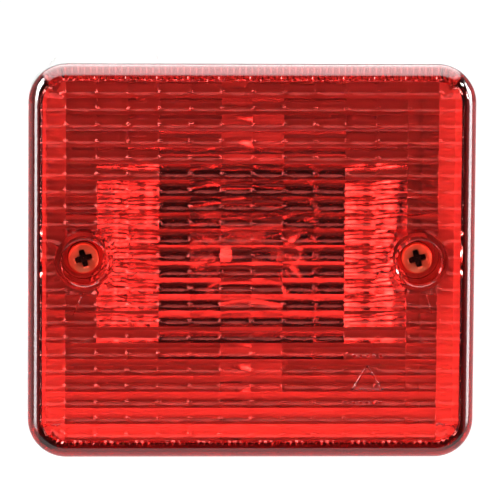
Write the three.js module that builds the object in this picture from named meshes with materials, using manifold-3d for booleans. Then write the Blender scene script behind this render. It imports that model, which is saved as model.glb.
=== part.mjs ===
// Square rear fog lamp for a vehicle: a red moulded lens on a white housing,
// with a metallised reflector, a bayonet bulb in its socket, and a rear terminal pocket.
// Units are millimetres. X is to the right, Z is up, and the lens faces -Y.
// The origin is the centre of the rear mounting face, and y = 0 is that face.

import * as THREE from 'three';
import { mergeVertices } from 'three/addons/utils/BufferGeometryUtils.js';
import Module from 'manifold-3d';

const wasm = await Module();
wasm.setup();

// Overall sizes
const LENS_WIDTH = 101.6;
const LENS_HEIGHT = 90;
const LAMP_DEPTH = 64;
const CORNER_RADIUS = 8.8;

// Clearances
const FIT = 0.3;
const SCREW_CLEARANCE = 0.4;
const REFLECTOR_CLEARANCE = 0.8;

// Lens
const LENS_PLATE = 2.8;
const CROWN_INSET = 2.4;
const CROWN_DEPTH = 2.8;
const CROWN_START = THREE.MathUtils.degToRad(20);
const LENS_BAND = 1.5;
const TONGUE_WALL = 1.0;

// Screw wells in the lens, and the screws in them
const SCREW_SPACING = 76.2;
const WELL_BORE_RADIUS = 5.2;
const WELL_WALL = 1.5;
const WELL_LIP = 0.35;
const WELL_FLOOR = 2.2;
const SCREW_HEAD_DEPTH = 7.2;
const SCREW_HEAD_RADIUS = 3.5;
const SCREW_HEAD_HEIGHT = 2.6;
const SCREW_CROWN = 0.9;
const SCREW_SHANK_RADIUS = 1.75;
const SCREW_SHANK_LENGTH = 20;
const SCREW_POINT = 2;
const CROSS_WIDTH = 4.2;
const CROSS_SLOT = 1.0;
const CROSS_DEPTH = 1.4;
const CROSS_TURN = THREE.MathUtils.degToRad(15);
const SEAL_THICKNESS = 1.0;
const SEAL_RADIUS = 3.6;
const LENS_BOSS_RADIUS = 4.5;

// Housing
const FLANGE_DEPTH = 5.6;
const FLANGE_WALL = 1.5;
const FLANGE_STEP = 1.0;
const GASKET_THICKNESS = 0.6;
const BODY_INSET_FRONT = 2.0;
const BODY_INSET_REAR = 4.8;
const HOUSING_WALL = 2.4;
const HOUSING_FLOOR = 2.5;
const TOP_PAD_WIDTH = 40;
const TOP_PAD_LENGTH = 14;
const TOP_PAD_INSET = 3.4;
const TOP_PAD_ROOT = 1.0;

// Terminal pocket in the rear of the housing, and its cover
const POCKET_WIDTH = 40;
const POCKET_HEIGHT = 28;
const POCKET_DEPTH = 8;
const POCKET_WALL = 2;
const POCKET_ROOF = 2;
const COVER_THICKNESS = 1.6;
const LEDGE_WIDTH = 1.6;
const GROMMET_X = -12;
const GROMMET_Z = -7.5;
const GROMMET_RADIUS = 3.6;
const GROMMET_BORE = 2.0;
const GROMMET_LIP = 1.1;
const GROMMET_LIP_THICKNESS = 1.0;

// Bulb, with a 15 mm bayonet cap and two pins
const CAP_RADIUS = 7.5;
const CAP_WALL = 0.8;
const CAP_LENGTH = 15;
const CAP_END_HOLE = 3.2;
const SOLDER_RADIUS = 2.4;
const SOLDER_HEIGHT = 1.5;
const PIN_RADIUS = 0.95;
const PIN_REACH = 1.3;
const PIN_FROM_CONTACT = 6.6;
const BULB_LENGTH = 45.5;
const GLASS_RADIUS = 12.6;
const GLASS_NECK_GAP = 0.5;
const GLASS_WALL = 0.8;
const GLASS_SHOULDER = 9;
const STEM_RADIUS = 3.4;
const STEM_LENGTH = 10;
const STEM_FLARE = 2;
const LIGHT_CENTRE = 30.5;
const FILAMENT_LENGTH = 7;
const FILAMENT_RADIUS = 0.55;
const SUPPORT_RADIUS = 0.35;

// Bulb socket
const SOCKET_WALL = 0.6;
const SOCKET_LENGTH = 21;
const SOCKET_REAR_STAND = 1.7;
const BAYONET_TURN_DEG = 18;
const BAYONET_STEP_DEG = 4.5;
const PLUNGER_TRAVEL = 2.0;
const BRACKET_THICKNESS = 0.8;
const BRACKET_MARGIN = 4;
const BRACKET_RIM = 2.6;
const DISC_THICKNESS = 1.5;
const SPRING_LENGTH = 2.5;
const SPRING_RADIUS = 3.0;
const SPRING_WIRE = 0.6;
const PLUNGER_HEAD = 1.2;
const PLUNGER_RADIUS = 4.0;
const PLUNGER_STEM_RADIUS = 1.2;
const PLUNGER_STEM_LENGTH = 2.5;
const RIVET_GAP = 0.8;
const RIVET_SHANK_RADIUS = 1.4;
const RIVET_HEAD_RADIUS = 2.5;
const RIVET_HEAD_HEIGHT = 0.8;
const BLADE_WIDTH = 6.3;
const BLADE_THICKNESS = 0.8;
const LIVE_BLADE_REACH = 16;
const EARTH_BLADE_LENGTH = 6;

// Reflector
const BOWL_SIZE = 42;
const BOWL_DEPTH = 16;
const REFLECTOR_WALL = 1.4;
const BOWL_FLOOR_BEHIND_SOCKET = 0.5;
const BULB_HOLE_CLEARANCE = 1.6;
const WING_REACH = 15;
const WING_RISE = 7;
const WING_HEIGHT = 36;
const FLUTE_PITCH = 2.5;
const FLUTE_DEPTH = 0.4;
const TAB_WIDTH = 12;
const TAB_LENGTH = 9;
const TAB_SCREW_FROM_WALL = 5;
const TAB_SCREW_RADIUS = 1.3;
const TAB_SCREW_LENGTH = 9;
const TAB_HEAD_RADIUS = 2.8;
const TAB_HEAD_HEIGHT = 1.8;
const TAB_BOSS_RADIUS = 3.2;

// Threaded inserts for the vehicle's bolts, and the breather
const INSERT_SPACING = 52;
const INSERT_RADIUS = 3.2;
const INSERT_BORE = 2.1;
const INSERT_LENGTH = 10;
const INSERT_BOSS_WALL = 1.8;
const VENT_RADIUS = 2.5;
const VENT_BORE = 0.8;
const VENT_HEAD = 1.0;
const VENT_LENGTH = 5;
const VENT_FROM_REAR = 15;

// How finely round shapes are divided
const CORNER_STEPS = 7;
const CROWN_STEPS = 6;
const ROUND_SIDES = 32;
const SMALL_SIDES = 20;

// Places along the depth, worked out from the sizes above
const lensFront = -LAMP_DEPTH;
const plateBack = lensFront + LENS_PLATE;
const lensBack = lensFront + CROWN_DEPTH + LENS_BAND;
const flangeFront = lensBack + FIT;
const flangeBack = flangeFront + FLANGE_DEPTH;
const screwX = SCREW_SPACING / 2;
const headFront = lensFront + SCREW_HEAD_DEPTH;
const headBack = headFront + SCREW_HEAD_HEIGHT;
const sealFront = headBack + FIT;
const wellFloorFront = sealFront + SEAL_THICKNESS + FIT;
const wellBack = wellFloorFront + WELL_FLOOR;
const lensBossFront = wellBack + FIT;
const shankEnd = headBack + SCREW_SHANK_LENGTH;
const wellRadius = WELL_BORE_RADIUS + WELL_WALL;
const stepFront = flangeBack - FLANGE_STEP;
const gasketBack = stepFront - FIT;
const gasketFront = gasketBack - GASKET_THICKNESS;
const tongueEnd = gasketFront - FIT;
const tongueInset = FLANGE_WALL + FIT;
const lensHollowInset = tongueInset + TONGUE_WALL;
const roofBack = -POCKET_DEPTH;
const roofFront = roofBack - POCKET_ROOF;
const socketRear = roofBack + SOCKET_REAR_STAND;
const socketFront = socketRear - SOCKET_LENGTH;
const socketBore = CAP_RADIUS + FIT;
const socketRadius = socketBore + SOCKET_WALL;
const discRear = socketRear - FIT;
const discFront = discRear - DISC_THICKNESS;
const springRear = discFront - FIT;
const springFront = springRear - SPRING_LENGTH;
const plungerRear = springFront - FIT;
const plungerFront = plungerRear - PLUNGER_HEAD;
const contactEnd = plungerFront - FIT;
const capRear = contactEnd - SOLDER_HEIGHT - FIT;
const capFront = capRear - CAP_LENGTH;
const pinY = contactEnd - PIN_FROM_CONTACT;
const glassTip = contactEnd - BULB_LENGTH;
const lightY = contactEnd - LIGHT_CENTRE;
const bracketRear = roofFront - FIT;
const bracketFront = bracketRear - BRACKET_THICKNESS;
const bowlFloor = socketFront + BOWL_FLOOR_BEHIND_SOCKET;
const reflectorRim = bowlFloor - BOWL_DEPTH;
const bulbHoleRadius = CAP_RADIUS + PIN_REACH + BULB_HOLE_CLEARANCE;
const rivetX = socketRadius + FIT + RIVET_HEAD_RADIUS + RIVET_GAP;
const bowlHalf = BOWL_SIZE / 2;
const tabScrewZ = bowlHalf + REFLECTOR_WALL + TAB_SCREW_FROM_WALL;
const tabBack = reflectorRim + REFLECTOR_WALL;
const insertX = INSERT_SPACING / 2;

// Turns closed geometry into a solid with its faces pointing out.
function solid(geometry) {
  const bare = geometry.clone();
  bare.deleteAttribute('normal');
  bare.deleteAttribute('uv');
  const merged = mergeVertices(bare, 1e-5);
  const points = merged.attributes.position.array;
  const source = merged.index.array;
  const kept = [];
  let volume = 0;
  const a = new THREE.Vector3();
  const b = new THREE.Vector3();
  const c = new THREE.Vector3();
  for (let i = 0; i < source.length; i += 3) {
    const [p, q, r] = [source[i], source[i + 1], source[i + 2]];
    if (p === q || q === r || r === p) continue;
    kept.push(p, q, r);
    a.fromArray(points, 3 * p);
    b.fromArray(points, 3 * q);
    c.fromArray(points, 3 * r);
    volume += a.dot(b.cross(c));
  }
  if (volume < 0) kept.reverse();
  return new wasm.Manifold(new wasm.Mesh({
    numProp: 3,
    vertProperties: new Float32Array(points),
    triVerts: new Uint32Array(kept),
  }));
}

function join(first, ...others) {
  return others.reduce((sum, other) => sum.add(other), first);
}

function cut(first, ...others) {
  return others.reduce((rest, other) => rest.subtract(other), first);
}

// One rounded rectangle, as [x, z] points, at an inset from the lens outline.
function outline(inset) {
  const halfWidth = LENS_WIDTH / 2 - inset;
  const halfHeight = LENS_HEIGHT / 2 - inset;
  const radius = Math.max(CORNER_RADIUS - inset, 1);
  const corners = [[1, 1, 0], [-1, 1, 1], [-1, -1, 2], [1, -1, 3]];
  const points = [];
  for (const [sideX, sideZ, quarter] of corners) {
    for (let step = 0; step <= CORNER_STEPS; step += 1) {
      const angle = (quarter + step / CORNER_STEPS) * Math.PI / 2;
      const x = sideX * (halfWidth - radius) + radius * Math.cos(angle);
      const z = sideZ * (halfHeight - radius) + radius * Math.sin(angle);
      points.push([x, z]);
    }
  }
  return points;
}

// A closed solid through rounded rectangles: each section is { y, inset }.
function loft(sections) {
  const rings = sections.map(({ inset }) => outline(inset));
  const count = rings[0].length;
  const positions = [];
  const index = [];
  rings.forEach((ring, row) => {
    ring.forEach(([x, z]) => positions.push(x, sections[row].y, z));
  });
  for (let row = 0; row + 1 < rings.length; row += 1) {
    for (let i = 0; i < count; i += 1) {
      const next = (i + 1) % count;
      const here = row * count;
      const there = here + count;
      index.push(here + i, here + next, there + next);
      index.push(here + i, there + next, there + i);
    }
  }
  const last = (rings.length - 1) * count;
  for (let i = 1; i + 1 < count; i += 1) {
    index.push(0, i + 1, i);
    index.push(last, last + i, last + i + 1);
  }
  const geometry = new THREE.BufferGeometry();
  geometry.setAttribute('position', new THREE.Float32BufferAttribute(positions, 3));
  geometry.setIndex(index);
  return solid(geometry);
}

// A straight band of one inset.
function slab(inset, yStart, yEnd) {
  return loft([{ y: yStart, inset }, { y: yEnd, inset }]);
}

// A frame-shaped ring between two insets.
function band(outerInset, innerInset, yStart, yEnd) {
  return cut(slab(outerInset, yStart, yEnd), slab(innerInset, yStart - 1, yEnd + 1));
}

// A solid of revolution about a line along Y: the profile is [radius, y] pairs.
function turned(profile, x = 0, z = 0, sides = ROUND_SIDES) {
  const points = profile.map(([radius, y]) => new THREE.Vector2(radius, y));
  const geometry = new THREE.LatheGeometry(points, sides);
  geometry.translate(x, 0, z);
  return solid(geometry);
}

function rod(radius, yStart, yEnd, x = 0, z = 0, sides = ROUND_SIDES) {
  return turned([[0, yStart], [radius, yStart], [radius, yEnd], [0, yEnd]], x, z, sides);
}

function tube(radius, bore, yStart, yEnd, x = 0, z = 0, sides = ROUND_SIDES) {
  const profile = [[bore, yStart], [radius, yStart], [radius, yEnd], [bore, yEnd], [bore, yStart]];
  return turned(profile, x, z, sides);
}

function block(xStart, xEnd, yStart, yEnd, zStart, zEnd, turn = 0) {
  const geometry = new THREE.BoxGeometry(
    Math.abs(xEnd - xStart), Math.abs(yEnd - yStart), Math.abs(zEnd - zStart));
  geometry.translate((xStart + xEnd) / 2, (yStart + yEnd) / 2, (zStart + zEnd) / 2);
  geometry.rotateY(turn);
  return solid(geometry);
}

function centredBlock(width, yStart, yEnd, height) {
  return block(-width / 2, width / 2, yStart, yEnd, -height / 2, height / 2);
}

// A mirrored copy across the plane x = 0.
function otherSide(shape) {
  return shape.mirror([1, 0, 0]);
}

function finish(colour, roughness, metalness, opacity = 1) {
  const transparent = opacity < 1;
  return new THREE.MeshStandardMaterial({
    color: colour, roughness, metalness, opacity, transparent,
  });
}

const redPlastic = finish(0xb01418, 0.12, 0, 0.75);
const whitePlastic = finish(0xf1f1ee, 0.4, 0);
const blackRubber = finish(0x1b1b1c, 0.8, 0);
const mirrorMetal = finish(0xdcdcde, 0.12, 1);
const screwSteel = finish(0xc9c9cc, 0.3, 1);
const nickelBrass = finish(0xd3c89a, 0.35, 1);
const plainBrass = finish(0xb8923f, 0.35, 1);
const clearGlass = finish(0xffffff, 0.05, 0, 0.35);
const tungsten = finish(0x4a4a4e, 0.5, 1);
const brownBoard = finish(0x5d3a20, 0.7, 0);
const greyPlastic = finish(0x85878a, 0.6, 0);

const lamp = new THREE.Group();

function add(name, shape, material) {
  const { vertProperties, triVerts } = shape.getMesh();
  const geometry = new THREE.BufferGeometry();
  geometry.setAttribute('position', new THREE.BufferAttribute(vertProperties, 3));
  geometry.setIndex(new THREE.BufferAttribute(triVerts, 1));
  geometry.computeVertexNormals();
  const mesh = new THREE.Mesh(geometry, material);
  mesh.name = name;
  lamp.add(mesh);
}

// Lens outer form: a flat front with a crowned edge and a short straight band.
function lensForm() {
  const reach = CROWN_INSET / (1 - Math.sin(CROWN_START));
  const depth = CROWN_DEPTH / Math.cos(CROWN_START);
  const sections = [];
  for (let step = 0; step <= CROWN_STEPS; step += 1) {
    const angle = CROWN_START + (Math.PI / 2 - CROWN_START) * step / CROWN_STEPS;
    const inset = reach * (1 - Math.sin(angle));
    const y = lensFront + CROWN_DEPTH - depth * Math.cos(angle);
    sections.push({ y, inset });
  }
  sections.push({ y: lensBack, inset: 0 });
  return loft(sections);
}

function makeLens() {
  const tongue = slab(tongueInset, plateBack, tongueEnd);
  const hollow = slab(lensHollowInset, plateBack, tongueEnd + 1);
  const post = rod(wellRadius, plateBack - 1, wellBack, screwX);
  const lip = WELL_BORE_RADIUS + WELL_LIP;
  const bore = turned([
    [0, lensFront - 1], [lip, lensFront - 1], [lip, lensFront],
    [WELL_BORE_RADIUS, lensFront + WELL_LIP], [WELL_BORE_RADIUS, wellFloorFront],
    [0, wellFloorFront],
  ], screwX);
  const hole = rod(SCREW_SHANK_RADIUS + SCREW_CLEARANCE, wellFloorFront - 1, wellBack + 1, screwX);
  const shell = join(cut(join(lensForm(), tongue), hollow), post, otherSide(post));
  add('lens', cut(shell, bore, otherSide(bore), hole, otherSide(hole)), redPlastic);
}

function makeLensGasket() {
  const ring = band(tongueInset, lensHollowInset, gasketFront, gasketBack);
  add('lens_gasket', ring, blackRubber);
}

// Pan head and screw point, as shares of the head radius, the crown height and the shank
const CROWN_FLAT = 0.55;
const CROWN_SHOULDER = 0.88;
const CROWN_SHOULDER_DROP = 0.45;
const CROWN_RIM_DROP = 1.2;
const POINT_TIP = 0.2;

function panHeadScrew(radius, headRadius, headTop, headHeight, crown, length, point) {
  const under = headTop + headHeight;
  const end = under + length;
  return [
    [0, headTop], [headRadius * CROWN_FLAT, headTop],
    [headRadius * CROWN_SHOULDER, headTop + crown * CROWN_SHOULDER_DROP],
    [headRadius, headTop + crown * CROWN_RIM_DROP], [headRadius, under], [radius, under],
    [radius, end - point], [radius * POINT_TIP, end], [0, end],
  ];
}

function crossRecess(x, top, span, width, depth, turn) {
  const arms = [0, Math.PI / 2].map((extra) => {
    const arm = block(-span / 2, span / 2, top - 1, top + depth, -width / 2, width / 2, turn + extra);
    return arm.translate([x, 0, 0]);
  });
  return join(...arms);
}

function makeLensScrews() {
  const profile = panHeadScrew(
    SCREW_SHANK_RADIUS, SCREW_HEAD_RADIUS, headFront, SCREW_HEAD_HEIGHT,
    SCREW_CROWN, SCREW_SHANK_LENGTH, SCREW_POINT);
  for (const [side, x] of [['left', -screwX], ['right', screwX]]) {
    const recess = crossRecess(x, headFront, CROSS_WIDTH, CROSS_SLOT, CROSS_DEPTH, CROSS_TURN);
    add(`lens_screw_${side}`, cut(turned(profile, x), recess), screwSteel);
    const bore = SCREW_SHANK_RADIUS + FIT;
    const seal = tube(SEAL_RADIUS, bore, sealFront, sealFront + SEAL_THICKNESS, x);
    add(`screw_seal_${side}`, seal, blackRubber);
  }
}

// Inset of the housing's drafted side walls at one depth.
function bodyInset(y) {
  const share = (y - flangeBack) / (0 - flangeBack);
  return BODY_INSET_FRONT + (BODY_INSET_REAR - BODY_INSET_FRONT) * share;
}

function draftedBody(extra, yStart, yEnd) {
  return loft([
    { y: yStart, inset: bodyInset(yStart) + extra },
    { y: yEnd, inset: bodyInset(yEnd) + extra },
  ]);
}

function housingShell() {
  const flange = slab(0, flangeFront, flangeBack);
  const body = draftedBody(0, flangeBack - 1, 0);
  const padTop = LENS_HEIGHT / 2 - TOP_PAD_INSET;
  const padRoot = LENS_HEIGHT / 2 - BODY_INSET_REAR - TOP_PAD_ROOT;
  const pad = block(
    -TOP_PAD_WIDTH / 2, TOP_PAD_WIDTH / 2, -TOP_PAD_LENGTH, 0, padRoot, padTop);
  const mouth = slab(FLANGE_WALL, flangeFront - 1, stepFront);
  const cavity = draftedBody(HOUSING_WALL, flangeFront - 1, -HOUSING_FLOOR);
  return cut(join(flange, body, pad), mouth, cavity);
}

function boss(radius, yFront, x, z) {
  return rod(radius, yFront, -HOUSING_FLOOR / 2, x, z);
}

function pocketBlock() {
  const grow = 2 * (LEDGE_WIDTH + POCKET_WALL);
  return centredBlock(POCKET_WIDTH + grow, roofFront, 0, POCKET_HEIGHT + grow);
}

function pocketHollow() {
  const ledge = 2 * LEDGE_WIDTH;
  const deep = centredBlock(POCKET_WIDTH, roofBack, 1, POCKET_HEIGHT);
  const mouth = centredBlock(
    POCKET_WIDTH + ledge, -COVER_THICKNESS - FIT, 1, POCKET_HEIGHT + ledge);
  return join(deep, mouth);
}

function makeHousing() {
  const insertBossRadius = INSERT_RADIUS + FIT + INSERT_BOSS_WALL;
  const insertBossFront = -INSERT_LENGTH - 2 * FIT - INSERT_BOSS_WALL;
  const raised = [
    boss(insertBossRadius, insertBossFront, insertX, 0),
    boss(insertBossRadius, insertBossFront, -insertX, 0),
    boss(LENS_BOSS_RADIUS, lensBossFront, screwX, 0),
    boss(LENS_BOSS_RADIUS, lensBossFront, -screwX, 0),
    boss(TAB_BOSS_RADIUS, tabBack + FIT, 0, tabScrewZ),
    boss(TAB_BOSS_RADIUS, tabBack + FIT, 0, -tabScrewZ),
    pocketBlock(),
  ];
  const pilot = SCREW_SHANK_RADIUS + FIT;
  const tabPilot = TAB_SCREW_RADIUS + FIT;
  const tabEnd = tabBack + TAB_SCREW_LENGTH + 1;
  const insertHole = INSERT_RADIUS + FIT;
  const insertEnd = -INSERT_LENGTH - 2 * FIT;
  const rivetHole = RIVET_SHANK_RADIUS + FIT;
  const ventFloor = -LENS_HEIGHT / 2;
  const holes = [
    pocketHollow(),
    rod(pilot, lensBossFront - 1, shankEnd + 2, screwX),
    rod(pilot, lensBossFront - 1, shankEnd + 2, -screwX),
    rod(tabPilot, tabBack - 1, tabEnd, 0, tabScrewZ, SMALL_SIDES),
    rod(tabPilot, tabBack - 1, tabEnd, 0, -tabScrewZ, SMALL_SIDES),
    rod(insertHole, insertEnd, 1, insertX),
    rod(insertHole, insertEnd, 1, -insertX),
    rod(socketRadius + FIT, roofFront - 1, roofBack + 1),
    rod(rivetHole, roofFront - 1, roofBack + 1, rivetX, 0, SMALL_SIDES),
    rod(rivetHole, roofFront - 1, roofBack + 1, -rivetX, 0, SMALL_SIDES),
    upright(rod(VENT_RADIUS + FIT, 0, BODY_INSET_REAR + HOUSING_WALL + 1, 0, 0, SMALL_SIDES),
      VENT_FROM_REAR, ventFloor),
  ];
  add('base_housing', cut(join(housingShell(), ...raised), ...holes), whitePlastic);
}

// Stands a turned piece upright, at a distance from the rear face.
function upright(shape, fromRear, z) {
  return shape.rotate([90, 0, 0]).translate([0, -fromRear, z]);
}

function makeVentPlug() {
  const wallFoot = -LENS_HEIGHT / 2 + bodyInset(-VENT_FROM_REAR - VENT_RADIUS);
  const plug = tube(VENT_RADIUS, VENT_BORE, -VENT_HEAD, VENT_LENGTH, 0, 0, SMALL_SIDES);
  add('vent_plug', upright(plug, VENT_FROM_REAR, wallFoot), greyPlastic);
}

function makeMountInserts() {
  for (const [side, x] of [['left', -insertX], ['right', insertX]]) {
    const insert = tube(INSERT_RADIUS, INSERT_BORE, -FIT - INSERT_LENGTH, -FIT, x);
    add(`mount_insert_${side}`, insert, plainBrass);
  }
}

function makeTerminalCover() {
  const grow = 2 * (LEDGE_WIDTH - FIT);
  const plate = centredBlock(POCKET_WIDTH + grow, -COVER_THICKNESS, 0, POCKET_HEIGHT + grow);
  const hole = rod(
    GROMMET_RADIUS + FIT, -COVER_THICKNESS - 1, 1, GROMMET_X, GROMMET_Z, SMALL_SIDES);
  add('terminal_cover', cut(plate, hole), whitePlastic);
  const lipFront = -COVER_THICKNESS - FIT - GROMMET_LIP_THICKNESS;
  const grommet = turned([
    [GROMMET_BORE, lipFront], [GROMMET_RADIUS + GROMMET_LIP, lipFront],
    [GROMMET_RADIUS + GROMMET_LIP, lipFront + GROMMET_LIP_THICKNESS],
    [GROMMET_RADIUS, lipFront + GROMMET_LIP_THICKNESS], [GROMMET_RADIUS, -FIT],
    [GROMMET_BORE, -FIT], [GROMMET_BORE, lipFront],
  ], GROMMET_X, GROMMET_Z, SMALL_SIDES);
  add('cable_grommet', grommet, blackRubber);
}

// The sleeve's two slots let the pins in along the bulb and then round to their seat.
function bayonetSlots() {
  const half = PIN_RADIUS + SCREW_CLEARANCE;
  const reach = socketRadius + 2;
  const seatFront = pinY - half;
  const seatBack = pinY + PLUNGER_TRAVEL + half;
  const arms = [];
  for (const side of [1, -1]) {
    const xNear = side * (socketBore - 2);
    const xFar = side * reach;
    for (let turn = 0; turn <= BAYONET_TURN_DEG; turn += BAYONET_STEP_DEG) {
      const angle = -THREE.MathUtils.degToRad(turn);
      arms.push(block(xNear, xFar, seatFront, seatBack, -half, half, angle));
    }
    const entry = -THREE.MathUtils.degToRad(BAYONET_TURN_DEG);
    arms.push(block(xNear, xFar, socketFront - 1, seatBack, -half, half, entry));
  }
  return join(...arms);
}

function makeSocket() {
  const sleeve = tube(socketRadius, socketBore, socketFront, socketRear, 0, 0, 48);
  add('bulb_socket', cut(sleeve, bayonetSlots()), screwSteel);
  const plate = centredBlock(
    2 * (rivetX + BRACKET_MARGIN), bracketFront, bracketRear, 2 * (socketRadius + BRACKET_RIM));
  const opening = rod(socketRadius + FIT, bracketFront - 1, bracketRear + 1);
  const rivetHole = RIVET_SHANK_RADIUS + FIT;
  const holes = [1, -1].map((side) => rod(
    rivetHole, bracketFront - 1, bracketRear + 1, side * rivetX, 0, SMALL_SIDES));
  add('socket_bracket', cut(plate, opening, ...holes), screwSteel);
}

function makeRivets() {
  const earthFront = roofBack + FIT;
  for (const [side, x] of [['left', -rivetX], ['right', rivetX]]) {
    const shankEnd = side === 'left' ? earthFront + BLADE_THICKNESS + FIT : roofBack + FIT;
    const headBase = bracketFront - FIT;
    const profile = [
      [0, headBase - RIVET_HEAD_HEIGHT], [RIVET_HEAD_RADIUS * 0.6, headBase - RIVET_HEAD_HEIGHT],
      [RIVET_HEAD_RADIUS, headBase], [RIVET_SHANK_RADIUS, headBase],
      [RIVET_SHANK_RADIUS, shankEnd], [RIVET_HEAD_RADIUS, shankEnd],
      [RIVET_HEAD_RADIUS * 0.6, shankEnd + RIVET_HEAD_HEIGHT], [0, shankEnd + RIVET_HEAD_HEIGHT],
    ];
    add(`socket_rivet_${side}`, turned(profile, x, 0, SMALL_SIDES), nickelBrass);
  }
}

function makeContacts() {
  const stemHole = PLUNGER_STEM_RADIUS + SCREW_CLEARANCE;
  const disc = tube(socketBore - FIT, stemHole, discFront, discRear);
  add('contact_disc', disc, brownBoard);
  const spring = tube(SPRING_RADIUS, SPRING_RADIUS - SPRING_WIRE, springFront, springRear);
  add('contact_spring', spring, screwSteel);
  const plunger = turned([
    [0, plungerFront], [PLUNGER_RADIUS, plungerFront], [PLUNGER_RADIUS, plungerRear],
    [PLUNGER_STEM_RADIUS, plungerRear], [PLUNGER_STEM_RADIUS, plungerRear + PLUNGER_STEM_LENGTH],
    [0, plungerRear + PLUNGER_STEM_LENGTH],
  ]);
  add('contact_plunger', plunger, nickelBrass);
}

function makeTerminals() {
  const half = BLADE_WIDTH / 2;
  const liveFront = socketRear + FIT;
  const live = block(-half, LIVE_BLADE_REACH, liveFront, liveFront + BLADE_THICKNESS, -half, half);
  add('live_terminal', live, nickelBrass);
  const earthFront = roofBack + FIT;
  const earthStart = -(socketRadius + FIT);
  const earth = block(
    earthStart, -(rivetX + EARTH_BLADE_LENGTH), earthFront, earthFront + BLADE_THICKNESS, -half, half);
  const hole = rod(RIVET_SHANK_RADIUS + FIT, earthFront - 1, earthFront + BLADE_THICKNESS + 1,
    -rivetX, 0, SMALL_SIDES);
  add('earth_terminal', cut(earth, hole), nickelBrass);
}

function makeBulb() {
  const inner = CAP_RADIUS - CAP_WALL;
  const cap = turned([
    [CAP_END_HOLE, capRear], [CAP_RADIUS - CAP_WALL, capRear], [CAP_RADIUS, capRear - CAP_WALL],
    [CAP_RADIUS, capFront], [inner, capFront], [inner, capRear - 2 * CAP_WALL],
    [CAP_END_HOLE, capRear - 2 * CAP_WALL], [CAP_END_HOLE, capRear],
  ]);
  const pinReach = CAP_RADIUS + PIN_REACH;
  const pinStart = inner + CAP_WALL / 2;
  const sideways = rod(PIN_RADIUS, pinStart, pinReach, 0, 0, 16).rotate([0, 0, -90]);
  const pins = [sideways, otherSide(sideways)].map((pin) => pin.translate([0, pinY, 0]));
  add('bulb_cap', join(cap, ...pins), nickelBrass);
  const solder = turned([
    [0, contactEnd], [SOLDER_RADIUS * 0.7, contactEnd],
    [SOLDER_RADIUS, contactEnd - SOLDER_HEIGHT / 2], [SOLDER_RADIUS, capRear - CAP_WALL],
    [0, capRear - CAP_WALL],
  ], 0, 0, SMALL_SIDES);
  add('bulb_solder_contact', solder, screwSteel);
  makeGlass();
}

// Half profile of the glass from its open neck to its round tip, at one shrink.
function glassProfile(shrink) {
  const neckEnd = capFront + CAP_LENGTH / 3;
  const shoulderEnd = capFront - GLASS_SHOULDER;
  const radius = GLASS_RADIUS - shrink;
  const neck = CAP_RADIUS - CAP_WALL - GLASS_NECK_GAP - shrink;
  const points = [[neck, neckEnd], [neck, capFront]];
  for (let step = 1; step <= 4; step += 1) {
    const share = step / 4;
    const ease = (1 - Math.cos(Math.PI * share)) / 2;
    points.push([neck + (radius - neck) * ease, capFront + (shoulderEnd - capFront) * share]);
  }
  const domeStart = glassTip + GLASS_RADIUS;
  for (let step = 0; step <= 8; step += 1) {
    const angle = Math.PI / 2 * step / 8;
    points.push([radius * Math.cos(angle), domeStart - radius * Math.sin(angle)]);
  }
  points[points.length - 1][0] = 0;
  return points;
}

function makeGlass() {
  const outer = glassProfile(0);
  const inner = glassProfile(GLASS_WALL).reverse();
  const shell = turned([...outer, ...inner, outer[0]], 0, 0, 28);
  add('bulb_glass', shell, clearGlass);
  const stemFront = capFront - STEM_LENGTH;
  const stem = turned([
    [0, capFront + STEM_FLARE], [STEM_RADIUS, capFront + STEM_FLARE],
    [STEM_RADIUS * 0.7, capFront - STEM_FLARE], [STEM_RADIUS * 0.7, stemFront], [0, stemFront],
  ], 0, 0, SMALL_SIDES);
  const supportX = FILAMENT_LENGTH / 2 - SUPPORT_RADIUS;
  add('bulb_stem', stem, clearGlass);
  const filament = rod(FILAMENT_RADIUS, -FILAMENT_LENGTH / 2, FILAMENT_LENGTH / 2, 0, 0, 12);
  add('bulb_filament', filament.rotate([0, 0, 90]).translate([0, lightY, 0]), tungsten);
  for (const [side, sign] of [['left', -1], ['right', 1]]) {
    const x = sign * supportX;
    const lead = rod(
      SUPPORT_RADIUS, lightY + FILAMENT_RADIUS + FIT, capFront - STEM_FLARE - FIT, x, 0, 10);
    add(`bulb_support_${side}`, lead, screwSteel);
  }
}

// Wing plan: a thin curved strip whose front is scalloped into upright flutes.
function wingOutline() {
  const start = bowlHalf;
  const end = bowlHalf + WING_REACH;
  const flutes = Math.round(WING_REACH / FLUTE_PITCH);
  const stepsPerFlute = 4;
  const steps = flutes * stepsPerFlute;
  const front = [];
  for (let step = 0; step <= steps; step += 1) {
    const share = step / steps;
    const x = start + (end - start) * share;
    const scallop = FLUTE_DEPTH * Math.abs(Math.sin(Math.PI * flutes * share));
    front.push([x, reflectorRim - WING_RISE * share * share + scallop]);
  }
  const rear = [];
  for (let step = flutes; step >= 0; step -= 1) {
    const share = step / flutes;
    const x = start + (end - start) * share;
    rear.push([x, reflectorRim - WING_RISE * share * share + FLUTE_DEPTH + REFLECTOR_WALL]);
  }
  return [...front, ...rear];
}

function wing() {
  const shape = new THREE.Shape(wingOutline().map(([x, y]) => new THREE.Vector2(x, y)));
  const geometry = new THREE.ExtrudeGeometry(shape, { depth: WING_HEIGHT, bevelEnabled: false });
  geometry.translate(0, 0, -WING_HEIGHT / 2);
  return solid(geometry);
}

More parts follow.
